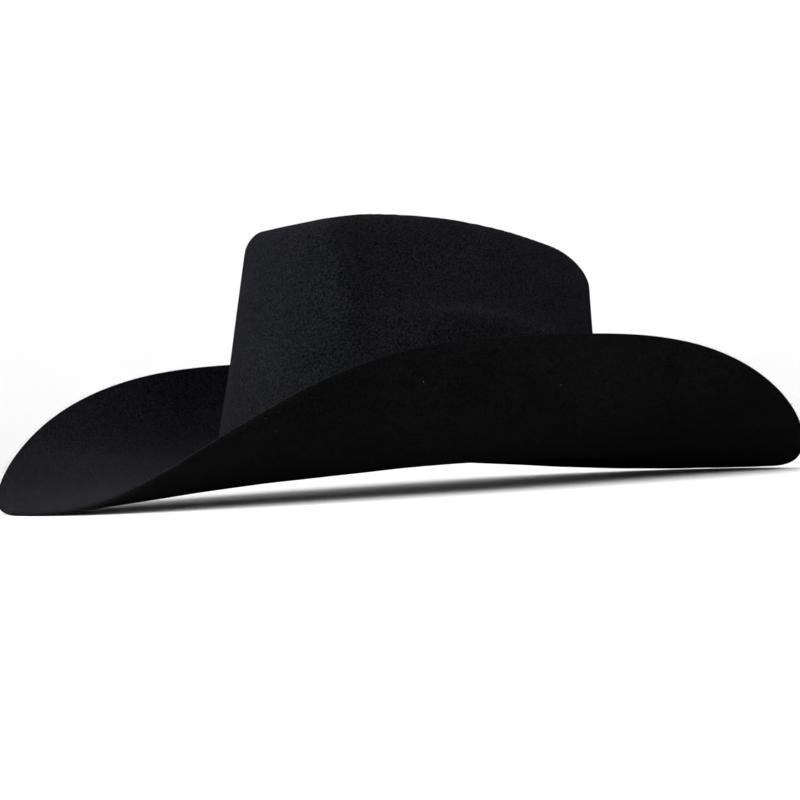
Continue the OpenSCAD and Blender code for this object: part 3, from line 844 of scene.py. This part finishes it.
class HAT_OT_stitching(PieceOperator):
    """Thread: the row of stitches round the sweatband and the zigzag over its back seam"""

    bl_idname = "hat.stitching"
    bl_label = "Stitching"

    def build(self):
        thread = waxed_thread()
        k = np.arange(STITCH_COUNT)
        ends = [(k + share) * TURN / STITCH_COUNT for share in (0.12, 0.88)]
        row = self.stitches("sweatband_stitch_row", ends, (STITCH_Z, STITCH_Z), thread)
        place(row, "thread", "sweatband_stitching")
        z = (15 + 4 * np.arange(SEAM_COUNT)) * MM
        turns, rise = np.radians(1.0), 2.4 * MM
        left, right = np.full(SEAM_COUNT, np.pi - turns), np.full(SEAM_COUNT, np.pi + turns)
        zigs = ([np.concatenate([left, right[:-1]]), np.concatenate([right, left[1:]])],
                (np.concatenate([z, z[:-1] + rise]), np.concatenate([z + rise, z[1:]])))
        place(self.stitches("sweatband_zigzag_seam", *zigs, thread), "thread", "sweatband_seam")

    def stitches(self, name, ends, heights, thread):
        """Stitches between two angles and heights each, on the inner face of the sweatband."""
        deep = [SWEAT_IN - SWEAT_LEAN * (np.asarray(z) / SWEAT_TOP) ** 2 - 0.15 * MM for z in heights]
        a, b = (wall_point(p, z, d) for p, z, d in zip(ends, heights, deep))
        lift = aside((ends[0] + ends[1]) / 2, -0.45 * MM)
        return make_object(name, *tubes(a, b, STITCH_RADIUS, lift), material=thread)


class HAT_OT_bow(PieceOperator):
    """Small ribbon bow at the back of the sweatband"""

    bl_idname = "hat.bow"
    bl_label = "Bow"

    def build(self):
        """Two loops and two tails, each a flat ribbon along a path in the bow's plane, and a knot that is
        a flattened ball."""
        origin = wall_point(np.pi, 5 * MM, SWEAT_IN - 1.9 * MM)
        knot = self.knot()
        pieces = [(*knot, np.zeros(len(knot[0])))]
        for side in (-1, 1):
            t = np.linspace(0.15, TURN - 0.15, 48)
            loop = MM * np.stack([side * 5.2 * (1 - np.cos(t)), -1.2 * np.sin(t) ** 3, 0.5 * np.sin(t)], -1)
            s = np.linspace(0, 1, 24)
            tail = MM * np.stack([side * 9.5 * s, 0 * s - 0.25, -1.8 * s**1.4], -1)
            pieces += [self.ribbon(loop, 2.3 * MM, 0.45), self.ribbon(tail, 1.5 * MM, 0.2)]
        points, quads, tris, along = zip(*pieces)
        starts = np.cumsum([0] + [len(each) for each in points[:-1]])
        quads, tris = (np.concatenate([each + start for each, start in zip(faces, starts)])
                       for faces in (quads, tris))
        obj = make_object("sweatband_ribbon_bow", origin + np.concatenate(points), quads, tris,
                          {"along": np.concatenate(along)}, bpy.data.materials["grosgrain"])
        place(obj, "tape_fabric", "sweatband_bow")

    def ribbon(self, path, width, swell):
        """Flat oval section carried along a path, upright and widest in the middle, with the distance
        along it for its ribs."""
        corners, length = 12, 22 * MM
        step = np.linspace(0, 1, len(path))
        half = width / 2 * (1 - swell + swell * np.sin(np.pi * step))[:, None]
        forward = unit(np.gradient(path, axis=0))
        up = unit(np.array([0.0, 0.0, 1.0]) - forward * forward[:, 2:])
        flat = np.cross(up, forward)
        a = round_turn(corners)[None, :, None]
        ring = np.sin(a) * (half * up)[:, None] + 0.14 * MM * np.cos(a) * flat[:, None]
        along = np.append(np.repeat(step * length, corners), [0, length])
        return (*capped(path[:, None] + ring), along)

    def knot(self):
        """Flattened ball: a superellipsoid 2.6 mm wide, 1.9 mm deep and 3 mm high."""
        u = np.linspace(0.02, np.pi - 0.02, 14)[:, None]
        v = round_turn(20)[None]
        level = spow(np.sin(u), 0.7)
        points = MM * np.stack([1.3 * level * spow(np.cos(v), 0.7), 0.95 * level * spow(np.sin(v), 0.7),
                                1.5 * spow(np.cos(u), 0.8) + 0 * v], -1)
        return capped(points[::-1])


class HAT_OT_label(PieceOperator):
    """Small blank woven label on the sweatband"""

    bl_idname = "hat.label"
    bl_label = "Size label"

    def build(self):
        """A thin rounded outline on the sweatband's inner face, its ends capped."""
        phi = np.radians(np.linspace(150, 170, 50))
        outline = rounded(-0.5 * MM, -0.12 * MM, 24 * MM, 36 * MM, 0.15 * MM)
        inner_face = SWEAT_IN - 0.45 * MM - SWEAT_LEAN * (outline[:, 1] / SWEAT_TOP) ** 2
        sections = carried(phi, outline, inner_face)
        obj = closed_strip("blank_size_label", sections, ring=False, material=woven_label())
        place(obj, "label_fabric", "size_label")


class HAT_OT_lining(PieceOperator):
    """Satin lining with gathered sides, a piped edge and a clear protector in its tip"""

    bl_idname = "hat.lining"
    bl_label = "Lining"

    WALL, CORNER, TOP = 34, 16, 26

    def build(self):
        # two rows of brim and two of the bend are dropped
        rows, normals = (part[4:] for part in worn_rows(480, 2, 2, self.WALL, self.CORNER, self.TOP))
        seam = self.WALL + self.CORNER // 2
        height = rows[..., 2]
        phi = round_turn(rows.shape[1])
        cloth = satin()
        # gathers run up the sides and start above the sweatband
        rise = ease((height - 52 * MM) / (16 * MM)) * ease((seam + 1 - np.arange(len(rows)))[:, None] / 5)
        pleats = 0.5 + 0.5 * np.sin(phi * 46 + 1.5 * np.sin(phi * 7))[None] * np.cos(phi * 13)[None]
        ripple = 0.5 + 0.5 * waves(rows, 8, 0.05, 3)
        depth = LINING_DEPTH + rise * (1.1 * MM * pleats + 0.5 * MM * ripple)
        side = slice(3, seam)
        sides = self.shell("lining_side_satin", rows[side], normals[side], depth[side], cloth)
        place(sides, "satin", "lining_sides")
        tip_depth = LINING_DEPTH + 0.35 * MM * ripple * ease((np.arange(len(rows)) - seam - 1)[:, None] / 4)
        top = slice(seam + 1, None)
        tip = self.cap("lining_tip_satin", rows[top], normals[top], tip_depth[top], LINING_THICK, cloth)
        place(tip, "satin", "lining_tip")
        place(self.piping(rows, normals, seam, phi), "tape_fabric", "lining_piping")
        middle = slice(self.WALL + self.CORNER + 3 * self.TOP // 7, None)
        flat = np.full(rows[middle].shape[:2], LINING_DEPTH + 1.2 * MM)
        sheet = self.cap("tip_protector_vinyl", rows[middle], normals[middle], flat, 0.3 * MM, clear_vinyl())
        place(sheet, "clear_sheet", "tip_protector")

    def layers(self, rows, normals, depth, thick):
        """The rows moved in by the depth, and moved in further by the thickness."""
        return rows - normals * depth[..., None], rows - normals * (depth + thick)[..., None]

    def shell(self, name, rows, normals, depth, material):
        """Two layers of the rows, joined at both edges."""
        near, far = self.layers(rows, normals, depth, LINING_THICK)
        sections = np.concatenate([far, near[::-1]]).transpose(1, 0, 2)
        return closed_strip(name, sections, material=material)

    def cap(self, name, rows, normals, depth, thick, material):
        """Two layers of the rows that close over the middle of the top."""
        near, far = self.layers(rows, normals, depth, thick)
        top = top_z(0.0, 0.0) - depth[-1, 0]
        grid = np.concatenate([far[::-1], near])
        return make_object(name, *capped(grid, [[0, 0, top - thick], [0, 0, top]]), material=material)

    def piping(self, rows, normals, seam, phi):
        """Round cord along the seam, with the distance along it kept for its ribs."""
        radius, corners, seam_radius = 1.0 * MM, 10, 75 * MM
        centre = rows[seam] - normals[seam] * (LINING_DEPTH + radius)
        along = unit(rows[seam + 1] - rows[seam - 1])
        a = round_turn(corners)[None, :, None]
        round_cord = -np.cos(a) * normals[seam][:, None] + np.sin(a) * along[:, None]
        sections = centre[:, None] + radius * round_cord
        distance = np.repeat(phi * seam_radius, corners)
        return closed_strip("lining_seam_piping", sections, attributes={"along": distance},
                            material=bpy.data.materials["grosgrain"])


class HAT_OT_stage(PieceOperator):
    """Floor, backdrop, lights and camera"""

    bl_idname = "hat.stage"
    bl_label = "Stage"

    CAMERA = (1.29848, -0.71518, 0.03809)
    AIM = (-0.00130, 0.00127, 0.04792)
    # name, place, side of the square, and share of the key light's power
    SOFTBOXES = (("key_softbox", (0.0, -1.6, 0.35), 0.8, 1.0), ("left_softbox", (1.1, -1.3, 0.6), 0.8, 0.62),
                 ("rear_softbox", (1.6, 0.3, 0.55), 0.8, 0.4), ("low_softbox", (-1.0, -1.6, 0.12), 0.5, 0.72))

    def build(self):
        props = bpy.context.scene.hat_stage
        self.sweep(props)
        world = bpy.data.worlds.new("studio_air")
        world.use_nodes = True
        air = world.node_tree.nodes["Background"].inputs
        air["Color"].default_value, air["Strength"].default_value = (1, 1, 1, 1), 1.0
        bpy.context.scene.world = world
        for name, at, size, share in self.SOFTBOXES:
            self.light(name, at, size, props.key_power * share)
        bpy.context.scene.view_settings.view_transform = "Standard"
        camera = linked("camera", bpy.data.cameras.new("camera"))
        camera.data.lens = props.lens
        camera.data.clip_start, camera.data.clip_end = 0.05, 50
        camera.location = self.CAMERA
        camera.rotation_mode = "QUATERNION"
        aim = (Vector(self.AIM) - Vector(self.CAMERA)).to_track_quat("-Z", "Y")
        camera.rotation_quaternion = aim @ Quaternion((0, 0, 1), -props.roll)
        bpy.context.scene.camera = camera

    def sweep(self, props):
        """Floor that curves up into a backdrop: a profile of floor, quarter circle and wall, turned
        round the hat."""
        radius, reach, wall = 1.2, 2.5, 4.0
        turn = np.linspace(0, np.pi / 2, 24)
        floor = [0.02, 0.3, 0.8, 1.6, reach]
        r = np.concatenate([floor, reach + radius * np.sin(turn[1:]), [reach + radius]])
        z = np.concatenate([0 * np.array(floor), radius * (1 - np.cos(turn[1:])), [wall]])
        phi = round_turn(96)
        grid = np.stack([r[:, None] * np.cos(phi), r[:, None] * np.sin(phi), z[:, None] + 0 * phi], -1)
        points = np.concatenate([grid.reshape(-1, 3), [[0, 0, 0]]])
        quads, tris = grid_faces(len(r), len(phi)), fans(r.size * phi.size, np.arange(phi.size), True)
        material, tree, at = new_material("matt_paper", Roughness=0.95)
        grain = remap(tree, noise(tree, at, 1 / 0.2, 2), 0.3, 0.7, 0.99, 1.0)
        surface(material, Base_Color=shaded(tree, tuple(props.floor), grain))
        make_object("paper_sweep", points, quads, tris, material=material, seated=False)

    def light(self, name, at, size, power):
        """Square softbox that faces the hat."""
        lamp = bpy.data.lights.new(name, "AREA")
        lamp.size, lamp.energy = size, power
        obj = linked(name, lamp)
        obj.location = at
        obj.rotation_mode = "QUATERNION"
        obj.rotation_quaternion = (Vector((0, 0, 0.05)) - Vector(at)).to_track_quat("-Z", "Y")


OPERATORS = (HAT_OT_felt, HAT_OT_edge_fibres, HAT_OT_band, HAT_OT_buckle, HAT_OT_sweatband, HAT_OT_stitching,
             HAT_OT_bow, HAT_OT_label, HAT_OT_lining, HAT_OT_stage)


class HAT_PT_panel(bpy.types.Panel):
    """Sizes, colours and the pieces of the hat"""

    bl_idname = "HAT_PT_panel"
    bl_label = "Felt cowboy hat"
    bl_space_type = "VIEW_3D"
    bl_region_type = "UI"
    bl_category = "Hat"

    def draw(self, context):
        for group in (context.scene.hat_shape, context.scene.hat_colours, context.scene.hat_stage):
            box = self.layout.box()
            for name in group.__annotations__:
                box.prop(group, name)
        for operator in OPERATORS:
            self.layout.operator(operator.bl_idname)


CLASSES = (HatShape, HatColours, HatStage, *OPERATORS, HAT_PT_panel)


def register():
    for cls in CLASSES:
        bpy.utils.register_class(cls)
    bpy.types.Scene.hat_shape = PointerProperty(type=HatShape)
    bpy.types.Scene.hat_colours = PointerProperty(type=HatColours)
    bpy.types.Scene.hat_stage = PointerProperty(type=HatStage)


def unregister():
    del bpy.types.Scene.hat_stage, bpy.types.Scene.hat_colours, bpy.types.Scene.hat_shape
    for cls in reversed(CLASSES):
        bpy.utils.unregister_class(cls)


def main():
    register()
    for operator in OPERATORS:
        group, name = operator.bl_idname.split(".")
        getattr(getattr(bpy.ops, group), name)()


if __name__ == "__main__":
    main()
